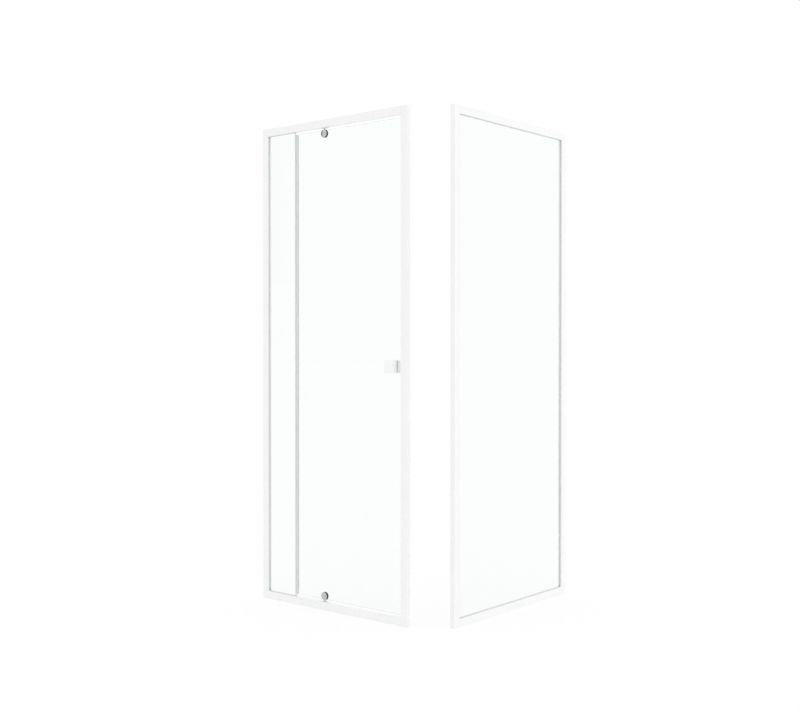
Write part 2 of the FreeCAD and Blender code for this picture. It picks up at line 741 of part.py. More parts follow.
def door_glass():
    """Leaf's pane, notched for the two pivots and drilled for the handle."""
    body = new_body("door_glass")
    outline = new_sketch(body, "XZ_Plane")
    draw_box(outline, "leaf_left + seal_web", "leaf_low", "leaf_right", "leaf_high")
    extrude(body, "Pad", outline, "glass_thickness", "Symmetric")
    notches = new_sketch(body, "XZ_Plane")
    left = "pivot_along - notch_width / 2"
    right = "pivot_along + notch_width / 2"
    draw_box(notches, left, "leaf_low - disc_inset", right, "pivot_low")
    draw_box(notches, left, "pivot_high", right, "leaf_high + disc_inset")
    extrude(body, "Pocket", notches, "glass_thickness", "Symmetric")
    rounds = new_sketch(body, "XZ_Plane")
    draw_circle(rounds, "pivot_along", "pivot_low", "notch_width / 2")
    draw_circle(rounds, "pivot_along", "pivot_high", "notch_width / 2")
    draw_circle(rounds, "handle_along", "handle_level", "handle_bore")
    drilled = extrude(body, "Pocket", rounds, "glass_thickness", "Symmetric")
    chamfer_all(body, drilled, "arris")
    place(body, "front", "0", "0", "0")


def leaf_edge_seal():
    """Grey strip gripped on the leaf's left edge, with a fin that closes behind the fixed pane."""
    body = new_body("leaf_edge_seal")
    section = new_sketch(body, "XY_Plane")
    draw_outline(section, [
        ("0", "-(seal_half)"),
        ("seal_cover", "-(seal_half)"),
        ("seal_cover", "-(grip_half)"),
        ("seal_web", "-(grip_half)"),
        ("seal_web", "grip_half"),
        ("seal_cover", "grip_half"),
        ("seal_cover", "seal_half"),
        ("-fin_reach", "seal_half"),
        ("-fin_reach", "seal_half - fin_thickness"),
        ("0", "seal_half - fin_thickness"),
    ])
    extrude(body, "Pad", section, "leaf_high - (leaf_low)")
    place(body, "front", "leaf_left", "0", "leaf_low")


def handle_block(name, outside):
    """White rectangular knob, rounded but for its seat, and bored for the stud that joins the pair."""
    body = new_body(name)
    seat = "handle_seat" if outside else "-(handle_seat)"
    seat_depth = number("handle_seat")

    def leaves_seat(ends):
        return any(abs(abs(end.y) - seat_depth) > SAME_SPOT for end in ends)

    face = new_sketch(body, "XZ_Plane", seat)
    draw_box(face, "-handle_width / 2", "-handle_height / 2", "handle_width / 2", "handle_height / 2")
    block = extrude(body, "Pad", face, "handle_depth", reverse=not outside)
    fillet_where(body, block, leaves_seat, "handle_edge")
    bore = new_sketch(body, "XZ_Plane", seat)
    draw_circle(bore, "0", "0", "stud_radius + thread_gap")
    extrude(body, "Pocket", bore, "stud_grip", reverse=outside)
    if not outside:
        grub_hole = new_sketch(body, "XY_Plane", "-handle_height / 2")
        draw_circle(grub_hole, "0", "handle_seat + stud_grip / 2", "grub_radius + thread_gap")
        extrude(body, "Pocket", grub_hole, "handle_height / 2", reverse=True)
    place(body, "front", "handle_along", "0", "handle_level")


def handle_fixings():
    """Stud through the glass, grub screw under the inner block, and a pad under each block."""
    stud = doc.addObject("Part::Cylinder", "handle_stud")
    stud.setExpression("Radius", linked("stud_radius"))
    stud.setExpression("Height", linked("2 * (handle_seat + stud_grip - pin_end_gap)"))
    place(stud, "front", "handle_along", "handle_seat + stud_grip - pin_end_gap", "handle_level", POINTING_IN)
    pieces["handle_stud"] = stud
    grub = doc.addObject("Part::Cylinder", "handle_grub_screw")
    grub.setExpression("Radius", linked("grub_radius"))
    grub.setExpression("Height", linked("grub_length"))
    tip = "handle_level - stud_radius - pin_end_gap - grub_length"
    place(grub, "front", "handle_along", "handle_seat + stud_grip / 2", tip)
    pieces["handle_grub_screw"] = grub
    pad = new_body("handle_pad_blank", is_piece=False)
    outline = new_sketch(pad, "XZ_Plane")
    half_width = "handle_width / 2 - pad_inset"
    half_height = "handle_height / 2 - pad_inset"
    draw_box(outline, f"-({half_width})", f"-({half_height})", half_width, half_height)
    draw_circle(outline, "0", "0", "stud_radius + hole_gap")
    extrude(pad, "Pad", outline, "handle_pad", "Symmetric")
    spots = []
    for side in ("-", ""):
        spots.append(("handle_along", f"{side}(glass_half + handle_pad / 2)", "handle_level", UPRIGHT))
    group("handle_pads", pad, "front", spots)


# Front panel's frame
frame_screw = headed_screw(
    "frame_screw", "screw_radius", "frame_screw_length", "screw_head_radius", "screw_head_height"
)
lock_screw = headed_screw(
    "lock_screw", "screw_radius", "lock_screw_length", "screw_head_radius", "screw_head_height"
)
jamb("wall_jamb", "front", at_left=True, locked=True)
jamb("corner_jamb", "front", at_left=False, locked=False)
frame_of("front", ["left"])
channel("wall_channel", "front", at_left=True)
corner_cover()
closing_seal()
infill("sill_infill", UPRIGHT, "rail_face")
infill("head_infill", UPSIDE_DOWN, "door_height - rail_face")

# Fixed pane beside the leaf
pane("fixed_glass", "front", "jamb_face - glass_bite", "rail_face - glass_bite", "pane_right",
     "door_height - (rail_face - glass_bite)")
gasket("fixed_gasket", "front", "pane_right")
bead("fixed_bead", "front")

# Pivots in the rails
pivot_plate("sill_pivot_plate", UPRIGHT, "rail_face")
pivot_plate("head_pivot_plate", UPSIDE_DOWN, "door_height - rail_face")
pivot_bush("sill_pivot_bush", UPRIGHT, "rail_face")
pivot_bush("head_pivot_bush", UPSIDE_DOWN, "door_height - rail_face")
plate_screw = headed_screw(
    "plate_screw", "plate_screw_radius", "plate_screw_length", "plate_screw_head", "plate_screw_cap"
)
plate_spots = []
for side in ("-", "+"):
    screw_along = f"pivot_along {side} plate_screw_span / 2"
    plate_spots.append((screw_along, "0", "rail_face + plate_thickness", UPRIGHT))
    plate_spots.append((screw_along, "0", "door_height - rail_face - plate_thickness", UPSIDE_DOWN))
group("pivot_plate_screws", plate_screw, "front", plate_spots)

# Leaf, with what turns with it
door_glass()
leaf_edge_seal()
pin_block("bottom_pivot_block", UPRIGHT, "pivot_low")
pin_block("top_pivot_block", UPSIDE_DOWN, "pivot_high")
for end, level in (("bottom", "pivot_low"), ("top", "pivot_high")):
    outer_clamp(end + "_pivot_clamp_outer", level)
    inner_clamp(end + "_pivot_clamp_inner", level)
    clamp_cap(end + "_pivot_cap_outer", level, ABOUT_FACE)
    clamp_cap(end + "_pivot_cap_inner", level, UPRIGHT)
clamp_screws()
pivot_gaskets()
handle_block("handle_outer", outside=True)
handle_block("handle_inner", outside=False)
handle_fixings()

# Return panel
jamb("return_corner_jamb", "return", at_left=True, locked=True)
jamb("return_wall_jamb", "return", at_left=False, locked=True)
frame_of("return", ["left", "right"])
channel("return_corner_channel", "return", at_left=True)
channel("return_wall_channel", "return", at_left=False)
return_pane_end = "return_width - (jamb_face - glass_bite)"
pane("return_glass", "return", "jamb_face - glass_bite", "rail_face - glass_bite", return_pane_end,
     "door_height - (rail_face - glass_bite)")
gasket("return_gasket", "return", return_pane_end)
bead("return_bead", "return")

doc.recompute()

# Every object has to be sound, and every cut has to have taken something away.
for item in doc.Objects:
    if "Invalid" in item.State or "Error" in item.State:
        raise RuntimeError(f"{item.Name} is not sound: {item.State}")
    if item.TypeId == "PartDesign::Pocket" and not item.Shape.Volume < item.BaseFeature.Shape.Volume - 1e-6:
        raise RuntimeError(f"{item.Name} cuts nothing")

os.makedirs("parts", exist_ok=True)
for name, item in pieces.items():
    shape = item.Shape
    if shape.isNull() or not shape.isValid() or not shape.Solids:
        raise RuntimeError(f"{name} has no valid solid")
for name, item in pieces.items():
    item.Shape.exportStep(f"parts/{name}.step")
print(len(pieces), "nodes,", sum(len(item.Shape.Solids) for item in pieces.values()), "solids")
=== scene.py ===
import bmesh
import bpy
import math
from mathutils import Matrix, Vector


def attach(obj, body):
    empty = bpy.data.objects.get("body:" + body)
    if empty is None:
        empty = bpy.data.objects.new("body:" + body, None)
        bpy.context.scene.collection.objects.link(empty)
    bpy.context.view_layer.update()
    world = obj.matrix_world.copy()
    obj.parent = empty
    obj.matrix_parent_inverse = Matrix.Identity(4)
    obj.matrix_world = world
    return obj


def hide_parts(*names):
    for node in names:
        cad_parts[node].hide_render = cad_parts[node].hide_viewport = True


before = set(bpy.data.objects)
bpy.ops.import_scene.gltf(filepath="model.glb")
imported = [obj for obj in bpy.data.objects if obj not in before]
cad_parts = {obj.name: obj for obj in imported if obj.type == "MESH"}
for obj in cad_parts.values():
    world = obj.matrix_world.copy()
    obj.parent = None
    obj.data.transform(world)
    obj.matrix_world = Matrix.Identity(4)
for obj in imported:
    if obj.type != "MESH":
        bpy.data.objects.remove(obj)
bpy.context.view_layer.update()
scene = bpy.context.scene
scene.view_settings.view_transform = "Standard"

# The camera stands outside the corner at chest height, and looks down by less than a degree.
# It has a plain lens of normal length.
EYE = (3.121, -3.3015, 1.092)
GAZE = (-0.642, 0.7667, -0.01094)
SENSOR = 36
LENS = 50.31
camera = bpy.data.objects.new("camera", bpy.data.cameras.new("camera"))
camera.location = EYE
camera.rotation_euler = Vector(GAZE).to_track_quat("-Z", "Y").to_euler()
camera.data.sensor_fit = "HORIZONTAL"
camera.data.sensor_width = SENSOR
camera.data.lens = LENS
scene.collection.objects.link(camera)
scene.camera = camera

# The studio is a pale, partly lit floor inside a white surround, which lights the screen evenly.
# The eye, mirrors and glass see both as white, and the floor keeps a faint shadow of the screen.
FLOOR_REACH = 40
FLOOR_COLOUR = (0.908, 0.908, 0.908, 1)
FLOOR_GLOW = 0.75
FLOOR_FILL = 0.6
SURROUND_LEVEL = 0.95
WHITE = (1, 1, 1, 1)
CORNERS = ((-1, -1), (1, -1), (1, 1), (-1, 1))
ONE_FACE = [(0, 1, 2, 3)]


def add(tree, kind, feeds=None, **settings):
    """New node. Feeds name its inputs, and each is a value or another node's output."""
    node = tree.nodes.new(kind)
    for name, value in settings.items():
        setattr(node, name, value)
    for name, value in (feeds or {}).items():
        if isinstance(value, bpy.types.NodeSocket):
            tree.links.new(value, node.inputs[name])
        else:
            node.inputs[name].default_value = value
    return node


def blank_tree(owner):
    """The owner's node tree with nothing in it."""
    owner.use_nodes = True
    owner.node_tree.nodes.clear()
    return owner.node_tree


def seen_by_eye(tree, unseen, seen):
    """One value where the eye sees a surface, straight, mirrored or through glass, and one elsewhere."""
    path = add(tree, "ShaderNodeLightPath")
    either = path.outputs["Is Camera Ray"]
    for name in ("Is Glossy Ray", "Is Transmission Ray"):
        feeds = {0: either, 1: path.outputs[name]}
        either = add(tree, "ShaderNodeMath", feeds, operation="MAXIMUM").outputs[0]
    return add(tree, "ShaderNodeMapRange", {"Value": either, "To Min": unseen, "To Max": seen}).outputs[0]


scene.world = bpy.data.worlds.new("white_surround")
tree = blank_tree(scene.world)
level = seen_by_eye(tree, SURROUND_LEVEL, 1)
surround = add(tree, "ShaderNodeBackground", {"Color": WHITE, "Strength": level})
add(tree, "ShaderNodeOutputWorld", {"Surface": surround.outputs[0]})

floor_mesh = bpy.data.meshes.new("studio_floor")
floor_mesh.from_pydata([(x * FLOOR_REACH, y * FLOOR_REACH, 0) for x, y in CORNERS], [], ONE_FACE)
floor_paint = bpy.data.materials.new("studio_floor")
tree = blank_tree(floor_paint)
lit = add(tree, "ShaderNodeBsdfDiffuse", {"Color": FLOOR_COLOUR})
glow = add(tree, "ShaderNodeEmission", {"Color": WHITE, "Strength": 1})
share = seen_by_eye(tree, FLOOR_FILL, FLOOR_GLOW)
paint = add(tree, "ShaderNodeMixShader", {0: share, 1: lit.outputs[0], 2: glow.outputs[0]})
add(tree, "ShaderNodeOutputMaterial", {"Surface": paint.outputs[0]})
floor_mesh.materials.append(floor_paint)
studio_floor = bpy.data.objects.new("studio_floor", floor_mesh)
scene.collection.objects.link(studio_floor)

# Two broad soft lamps hang overhead and on the right.
# They make the tops lightest, and the right sides lighter than the front.
# The panes don't show the lamps themselves.
LAMP_SPREAD = 70
LAMPS = {"soft_lamp_above": ((0.1, -0.1, 1), 0.4), "soft_lamp_right": ((0.95, -0.2, 0.25), 0.38)}
for name, (come_from, strength) in LAMPS.items():
    lamp = bpy.data.objects.new(name, bpy.data.lights.new(name, "SUN"))
    lamp.data.energy = strength
    lamp.data.angle = math.radians(LAMP_SPREAD)
    lamp.rotation_euler = Vector(come_from).to_track_quat("Z", "Y").to_euler()
    lamp.visible_transmission = False
    scene.collection.objects.link(lamp)

# A grey card far out on the left is there for the polished caps alone, which need something to mirror.
# It stands just outside the angle that the flat glass mirrors, and fades out on that side.
CARD_HALF = (0.95, 1.9)
CARD_SPOT = (-7.09, -5.6, 3.7)
CARD_TURN = -51.5
CARD_COLOUR = (0.36, 0.36, 0.36, 1)
UNSEEN_BY = ("camera", "diffuse", "transmission", "volume_scatter", "shadow")
card_paint = bpy.data.materials.new("grey_card")
tree = blank_tree(card_paint)
felt = add(tree, "ShaderNodeBsdfDiffuse", {"Color": CARD_COLOUR})
clear = add(tree, "ShaderNodeBsdfTransparent")
width = add(tree, "ShaderNodeSeparateXYZ", {0: add(tree, "ShaderNodeTexCoord").outputs["Object"]})
fade = add(tree, "ShaderNodeMapRange", {"Value": width.outputs["X"], "From Max": CARD_HALF[0]})
paint = add(tree, "ShaderNodeMixShader", {0: fade.outputs[0], 1: felt.outputs[0], 2: clear.outputs[0]})
add(tree, "ShaderNodeOutputMaterial", {"Surface": paint.outputs[0]})
card_mesh = bpy.data.meshes.new("grey_card")
card_mesh.from_pydata([(x * CARD_HALF[0], 0, z * CARD_HALF[1]) for x, z in CORNERS], [], ONE_FACE)
card_mesh.materials.append(card_paint)
card = bpy.data.objects.new("grey_card", card_mesh)
card.location = CARD_SPOT
card.rotation_euler = (0, 0, math.radians(CARD_TURN))
for ray in UNSEEN_BY:
    setattr(card, "visible_" + ray, False)
scene.collection.objects.link(card)

# Rails, jambs, their channels and the strip over the corner jamb are aluminium extrusions.
# They are sawn square, butted, screwed from inside the jambs, and powder coated white.
# The baked powder leaves a fine orange peel and dries very slightly uneven.
BARS = ("head_rail", "sill_rail", "wall_jamb", "corner_jamb", "wall_channel", "corner_cover")
RETURN_BARS = ("return_head_rail", "return_sill_rail", "return_corner_jamb", "return_wall_jamb")
RETURN_CHANNELS = ("return_corner_channel", "return_wall_channel")
MOTTLE_SCALE = 9
NOISE_RANGE = {"From Min": 0.3, "From Max": 0.7}
MIX_DARK = 6
MIX_LIGHT = 7
MIX_COLOUR = 2


def new_group(name, inputs):
    """Shader group with the given inputs, and with a relief and a mask that wander over the surface."""
    group = bpy.data.node_groups.new(name, "ShaderNodeTree")
    for title, kind in inputs:
        group.interface.new_socket(title, in_out="INPUT", socket_type=kind)
    for title in ("Relief", "Patch"):
        group.interface.new_socket(title, in_out="OUTPUT", socket_type="NodeSocketFloat")
    return group


fine_grain = new_group("fine_grain", [("Cells", "NodeSocketFloat")])
given = add(fine_grain, "NodeGroupInput")
spot = add(fine_grain, "ShaderNodeTexCoord").outputs["Object"]
feeds = {"Vector": spot, "Scale": given.outputs["Cells"], "Detail": 1}
cells = add(fine_grain, "ShaderNodeTexNoise", feeds)
feeds = {"Vector": spot, "Scale": MOTTLE_SCALE, "Detail": 4, "Roughness": 0.6}
mottle = add(fine_grain, "ShaderNodeTexNoise", feeds)
patch = add(fine_grain, "ShaderNodeMapRange", {"Value": mottle.outputs["Fac"], **NOISE_RANGE})
add(fine_grain, "NodeGroupOutput", {"Relief": cells.outputs["Fac"], "Patch": patch.outputs[0]})


def new_finish(name, group, feeds, dark, light, smooth, rough, relief, plain=None, patchy=()):
    """Finish whose colour and roughness move between two values with a group's patches, over its relief.
    Patchy sockets take the patches themselves, and plain values go straight to the shader's own sockets."""
    finish = bpy.data.materials.new(name)
    tree = blank_tree(finish)
    surface = add(tree, "ShaderNodeGroup", node_tree=group)
    for title, value in feeds.items():
        surface.inputs[title].default_value = value
    patch = surface.outputs["Patch"]
    colour = add(tree, "ShaderNodeMix", data_type="RGBA")
    tree.links.new(patch, colour.inputs["Factor"])
    colour.inputs[MIX_DARK].default_value = (*dark, 1)
    colour.inputs[MIX_LIGHT].default_value = (*light, 1)
    gloss = add(tree, "ShaderNodeMapRange", {"Value": patch, "To Min": smooth, "To Max": rough})
    feeds = {"Height": surface.outputs["Relief"], "Distance": relief, "Strength": 1}
    bump = add(tree, "ShaderNodeBump", feeds)
    shader = add(tree, "ShaderNodeBsdfPrincipled", {
        "Base Color": colour.outputs[MIX_COLOUR],
        "Roughness": gloss.outputs[0],
        "Normal": bump.outputs[0],
        **{socket: patch for socket in patchy},
        **(plain or {}),
    })
    add(tree, "ShaderNodeOutputMaterial", {"Surface": shader.outputs[0]})
    return finish


def dress(finish, *nodes):
    """Give CAD nodes a finish."""
    for name in nodes:
        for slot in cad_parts[name].material_slots:
            slot.material = finish


powder_coat = new_finish(
    "powder_coat", fine_grain, {"Cells": 900},
    dark=(0.872, 0.874, 0.872), light=(0.892, 0.893, 0.89), smooth=0.36, rough=0.46, relief=0.00002,
)
dress(powder_coat, *BARS, *RETURN_BARS, *RETURN_CHANNELS)

# Frame screws run through the jambs' webs into ports in the rails, and lock screws hold jamb to channel.
# They are rolled from steel wire with pan heads, a cross recess and a coarse thread, and zinc plated.
# Sizes are in millimetres, along a panel from its left end, across it from its middle, and up.
MM = 0.001
SAME_SPOT = 1e-4
SHARP = math.radians(35)
FRONT = Matrix.Translation((-0.4, 0, 0))
RETURN = Matrix.Translation((0.5405, 0.0915, 0)) @ Matrix.Rotation(math.radians(90), 4, "Z")
POINTING_RIGHT = Matrix.Rotation(math.radians(-90), 4, "Y")
POINTING_LEFT = Matrix.Rotation(math.radians(90), 4, "Y")
POINTING_OUT = Matrix.Rotation(math.radians(-90), 4, "X")
HALF_DEPTH = 9.5
WEB_LEFT = 18
WEB_RIGHT = 782
LOCK_LEFT = 8
LOCK_RIGHT = 792
PORT_LEVELS = (4.75, 13.75, 1986.25, 1995.25)
LOCK_LEVELS = (300, 1000, 1700)
CROSS = [
    (2.1, -0.45), (2.1, 0.45), (0.6, 0.6), (0.45, 2.1), (-0.45, 2.1), (-0.6, 0.6),
    (-2.1, 0.45), (-2.1, -0.45), (-0.6, -0.6), (-0.45, -2.1), (0.45, -2.1), (0.6, -0.6),
]
CROSS_DEPTH = 1.6
DRIVE_TAPER = 0.6
PAN_HEAD = [(0, 0), (3.8, 0), (3.8, 1), (3.66, 1.6), (3.3, 2.15), (2.8, 2.48), (2.45, 2.6)]
HEAD_SEGMENTS = 24
THREAD_SEGMENTS = 12
THREAD_DEPTH = 0.5
RUN_OUT_ROWS = 5
TUCK = 0.3
COARSE = {"radius": 2, "pitch": 1.4}
FRAME_SCREW_LENGTH = 33
LOCK_SCREW_LENGTH = 7


def turned(bm, outline, segments):
    """Turn an outline of radius and height about Z, and return its rings of vertices."""
    rings = []
    for radius, height in outline:
        steps = [math.tau * step / segments for step in range(segments if radius else 1)]
        rings.append([bm.verts.new((radius * math.cos(a), radius * math.sin(a), height)) for a in steps])
    for low, high in zip(rings, rings[1:]):
        for step in range(segments):
            follower = (step + 1) % segments
            corners = [low[step % len(low)], low[follower % len(low)]]
            corners += [high[follower % len(high)], high[step % len(high)]]
            bm.faces.new(dict.fromkeys(corners))
    return rings


def sunk_drive(bm, rim, outline, depth):
    """Close a rim of vertices with a flat face that has a tapered recess of the given outline in it."""
    height = rim[0].co.z
    mouth = [bm.verts.new((x, y, height)) for x, y in outline]
    foot = [bm.verts.new((x * DRIVE_TAPER, y * DRIVE_TAPER, height - depth)) for x, y in outline]
    edges = []
    for loop in (rim, mouth):
        for first, second in zip(loop, loop[1:] + loop[:1]):
            edges.append(bm.edges.get((first, second)) or bm.edges.new((first, second)))
    bmesh.ops.triangle_fill(bm, edges=edges, use_beauty=True, normal=(0, 0, 1))
    for step in range(len(outline)):
        follower = (step + 1) % len(outline)
        bm.faces.new((mouth[step], mouth[follower], foot[follower], foot[step]))
    bm.faces.new(foot)


def threaded(bm, radius, low, high, pitch):
    """Rod with a V thread between two heights, which runs out at both ends. The ends are closed."""
    root = radius - THREAD_DEPTH * pitch
    rows = 2 * math.ceil((high - low) / pitch) + RUN_OUT_ROWS
    grid = []
    for row in range(rows):
        ring = []
        for step in range(THREAD_SEGMENTS):
            height = high + pitch - pitch * (row / 2 + step / THREAD_SEGMENTS)
            inside = low < height < high
            reach = radius if inside and row % 2 else root
            angle = math.tau * step / THREAD_SEGMENTS
            spot = (reach * math.cos(angle), reach * math.sin(angle), min(max(height, low), high))
            ring.append(bm.verts.new(spot))
        grid.append(ring)
    for row in range(rows - 1):
        for step in range(THREAD_SEGMENTS):
            wrap = step + 1 == THREAD_SEGMENTS
            after = row + 2 if wrap else row
            follower = 0 if wrap else step + 1
            if after + 1 < rows:
                corners = [grid[row][step], grid[row + 1][step]]
                corners += [grid[after + 1][follower], grid[after][follower]]
                bm.faces.new(corners)
    bm.faces.new(grid[0])
    bm.faces.new(grid[-1])
    bmesh.ops.remove_doubles(bm, verts=[vert for ring in grid for vert in ring], dist=SAME_SPOT)


def blank_mesh(name, bm):
    """Mesh in metres of what was drawn in millimetres, with every face turned outwards."""
    bmesh.ops.dissolve_degenerate(bm, edges=bm.edges, dist=SAME_SPOT)
    bmesh.ops.recalc_face_normals(bm, faces=bm.faces)
    bmesh.ops.scale(bm, vec=(MM, MM, MM), verts=bm.verts)
    mesh = bpy.data.meshes.new(name)
    bm.to_mesh(mesh)
    bm.free()
    return mesh


def headed_screw(name, head, drive, drive_depth, length, radius, pitch):
    """Screw that points down from the underside of its head at the origin."""
    bm = bmesh.new()
    rings = turned(bm, head, HEAD_SEGMENTS)
    sunk_drive(bm, rings[-1], drive, drive_depth)
    threaded(bm, radius, -length, TUCK, pitch)
    return blank_mesh(name, bm)


def set_out(name, blank, places):
    """Mesh of a copy of the blank at each place."""
    bm = bmesh.new()
    for place in places:
        first = len(bm.verts)
        bm.from_mesh(blank)
        bm.verts.ensure_lookup_table()
        bmesh.ops.transform(bm, matrix=place, verts=bm.verts[first:])
    mesh = bpy.data.meshes.new(name)
    bm.to_mesh(mesh)
    bm.free()
    return mesh


def in_panel(panel, along, across, up, turn=Matrix()):
    """Place in a panel, in millimetres: along it from its left end, across it to the inside, and up."""
    return panel @ Matrix.Translation((along * MM, across * MM, up * MM)) @ turn


def new_piece(name, mesh, finish, body, slot, *nodes):
    """Object that rides on a body and stands for CAD nodes, if any are named."""
    mesh.materials.append(finish)
    for face in mesh.polygons:
        face.use_smooth = True
    mesh.set_sharp_from_angle(angle=SHARP)
    piece = bpy.data.objects.new(name, mesh)
    scene.collection.objects.link(piece)
    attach(piece, body)
    if nodes:
        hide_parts(*nodes)


zinc_steel = new_finish(
    "zinc_steel", fine_grain, {"Cells": 2500},
    dark=(0.5, 0.51, 0.52), light=(0.6, 0.61, 0.63), smooth=0.24, rough=0.36, relief=0.000004,
    plain={"Metallic": 1},
)
frame_screw = headed_screw("frame_screw", PAN_HEAD, CROSS, CROSS_DEPTH, FRAME_SCREW_LENGTH, **COARSE)
lock_screw = headed_screw("lock_screw", PAN_HEAD, CROSS, CROSS_DEPTH, LOCK_SCREW_LENGTH, **COARSE)
for panel, prefix, lock_places in ((FRONT, "", (LOCK_LEFT,)), (RETURN, "return_", (LOCK_LEFT, LOCK_RIGHT))):
    spots = []
    for level in PORT_LEVELS:
        spots.append(in_panel(panel, WEB_LEFT, 0, level, POINTING_RIGHT))
        spots.append(in_panel(panel, WEB_RIGHT, 0, level, POINTING_LEFT))
    mesh = set_out(prefix + "frame_screw_set", frame_screw, spots)
    new_piece(prefix + "frame_screw_set", mesh, zinc_steel, "frame", "steel", prefix + "frame_screws")
    spots = []
    for level in LOCK_LEVELS:
        for along in lock_places:
            spots.append(in_panel(panel, along, HALF_DEPTH, level, POINTING_OUT))
    mesh = set_out(prefix + "lock_screw_set", lock_screw, spots)
    new_piece(prefix + "lock_screw_set", mesh, zinc_steel, "frame", "steel", prefix + "lock_screws")

# White plugs close the holes in the return's corner channel, which show while the return stands apart.
# They are moulded with a low dome and a barbed stem, and pressed in from outside.
PLUG_LEVELS = (150, 700, 1300, 1850)
PLUG = [
    (0, 0.55), (1.2, 0.5), (2.1, 0.38), (2.8, 0.2), (3.2, 0.02),
    (2.3, 0.02), (2.3, -1.6), (2.65, -2), (2, -3), (0, -3),
]
white_moulding = new_finish(
    "white_moulding", fine_grain, {"Cells": 2000},
    dark=(0.865, 0.868, 0.864), light=(0.89, 0.892, 0.887), smooth=0.3, rough=0.4, relief=0.000005,
)
bm = bmesh.new()
turned(bm, PLUG, HEAD_SEGMENTS)
plug = blank_mesh("plug", bm)
spots = [in_panel(RETURN, 0, 0, level, POINTING_RIGHT) for level in PLUG_LEVELS]
mesh = set_out("return_plug_set", plug, spots)
new_piece("return_plug_set", mesh, white_moulding, "frame", "white_plastic")

# White strips snap into the pockets: infills where they hold no glass, a seal where the leaf closes,
# and beads inside the fixed panes.
# They are extruded from PVC, smooth and slightly glossy, with faint die lines.
INFILLS = ("head_infill", "sill_infill")
UPRIGHT_STRIPS = ("closing_seal", "fixed_bead", "return_bead")
UPRIGHT_LINES = (1800, 1800, 2)
LEVEL_LINES = (2, 1800, 1800)
drawn_lines = new_group("drawn_lines", [("Closeness", "NodeSocketVector")])
given = add(drawn_lines, "NodeGroupInput")
spot = add(drawn_lines, "ShaderNodeTexCoord").outputs["Object"]
feeds = {0: spot, 1: given.outputs["Closeness"]}
pulled = add(drawn_lines, "ShaderNodeVectorMath", feeds, operation="MULTIPLY")
lines = add(drawn_lines, "ShaderNodeTexNoise", {"Vector": pulled.outputs[0], "Scale": 1, "Detail": 3})
patch = add(drawn_lines, "ShaderNodeMapRange", {"Value": lines.outputs["Fac"], **NOISE_RANGE})
add(drawn_lines, "NodeGroupOutput", {"Relief": lines.outputs["Fac"], "Patch": patch.outputs[0]})
for title, closeness, nodes in (
    ("white_strip_level", LEVEL_LINES, INFILLS),
    ("white_strip_upright", UPRIGHT_LINES, UPRIGHT_STRIPS),
):
    white_strip = new_finish(
        title, drawn_lines, {"Closeness": closeness},
        dark=(0.865, 0.868, 0.864), light=(0.89, 0.892, 0.887), smooth=0.26, rough=0.36, relief=0.00001,
    )
    dress(white_strip, *nodes)

# The panes are clear toughened glass, very faintly green, and heat treatment leaves a slight wave in them.
# Their edges are ground. Fixed panes keep a white bloom there, and the leaf's, rubbed down, look greener.
# Lamps and bounced light pass straight through, so what is behind a pane is lit as it would be.
GLASS_FACE = (0.967, 0.984, 0.976)
GROUND_EDGE = (0.985, 0.995, 0.99)
LEAF_EDGE = (0.75, 0.84, 0.82)
GLASS_PASSES = (0.94, 0.955, 0.95, 1)
ACROSS_FRONT = (0, 1, 0)
ACROSS_RETURN = (1, 0, 0)
SQUARE_ON = 0.98
WAVE_SCALE = 4
BLOOM = ("Coat Weight",)
pane_edge = new_group("pane_edge", [("Across", "NodeSocketVector")])
given = add(pane_edge, "NodeGroupInput")
here = add(pane_edge, "ShaderNodeTexCoord")
feeds = {0: here.outputs["Normal"], 1: given.outputs["Across"]}
facing = add(pane_edge, "ShaderNodeVectorMath", feeds, operation="DOT_PRODUCT")
facing = add(pane_edge, "ShaderNodeMath", {0: facing.outputs["Value"]}, operation="ABSOLUTE")
edge = add(pane_edge, "ShaderNodeMath", {0: facing.outputs[0], 1: SQUARE_ON}, operation="LESS_THAN")
feeds = {"Vector": here.outputs["Object"], "Scale": WAVE_SCALE, "Detail": 0}
wave = add(pane_edge, "ShaderNodeTexNoise", feeds)
add(pane_edge, "NodeGroupOutput", {"Relief": wave.outputs["Fac"], "Patch": edge.outputs[0]})
for node, across, edge_colour, patchy in (
    ("fixed_glass", ACROSS_FRONT, GROUND_EDGE, BLOOM),
    ("return_glass", ACROSS_RETURN, GROUND_EDGE, BLOOM),
    ("door_glass", ACROSS_FRONT, LEAF_EDGE, ()),
):
    clear_glass = new_finish(
        "clear_" + node, pane_edge, {"Across": across}, dark=GLASS_FACE, light=edge_colour,
        smooth=0.0, rough=1.0, relief=0.0002, patchy=patchy,
        plain={"Transmission Weight": 1, "IOR": 1.52, "Coat IOR": 3.5, "Coat Roughness": 0.7},
    )
    tree = clear_glass.node_tree
    surface = tree.get_output_node("ALL").inputs["Surface"]
    path = add(tree, "ShaderNodeLightPath")
    feeds = {0: path.outputs["Is Shadow Ray"], 1: path.outputs["Is Diffuse Ray"]}
    light_ray = add(tree, "ShaderNodeMath", feeds, operation="MAXIMUM")
    passed = add(tree, "ShaderNodeBsdfTransparent", {"Color": GLASS_PASSES})
    feeds = {0: light_ray.outputs[0], 1: surface.links[0].from_socket, 2: passed.outputs[0]}
    tree.links.new(add(tree, "ShaderNodeMixShader", feeds).outputs[0], surface)
    dress(clear_glass, node)

# Gaskets lie between the fixed panes and the frame, with a lip over the pocket's outer edge.
# They are extruded from soft grey vinyl with a matt skin, and the beads press the panes to them.
GASKETS = ("fixed_gasket", "return_gasket")
grey_vinyl = new_finish(
    "grey_vinyl", fine_grain, {"Cells": 1500},
    dark=(0.66, 0.685, 0.68), light=(0.71, 0.735, 0.73), smooth=0.48, rough=0.6, relief=0.00001,
)
dress(grey_vinyl, *GASKETS)

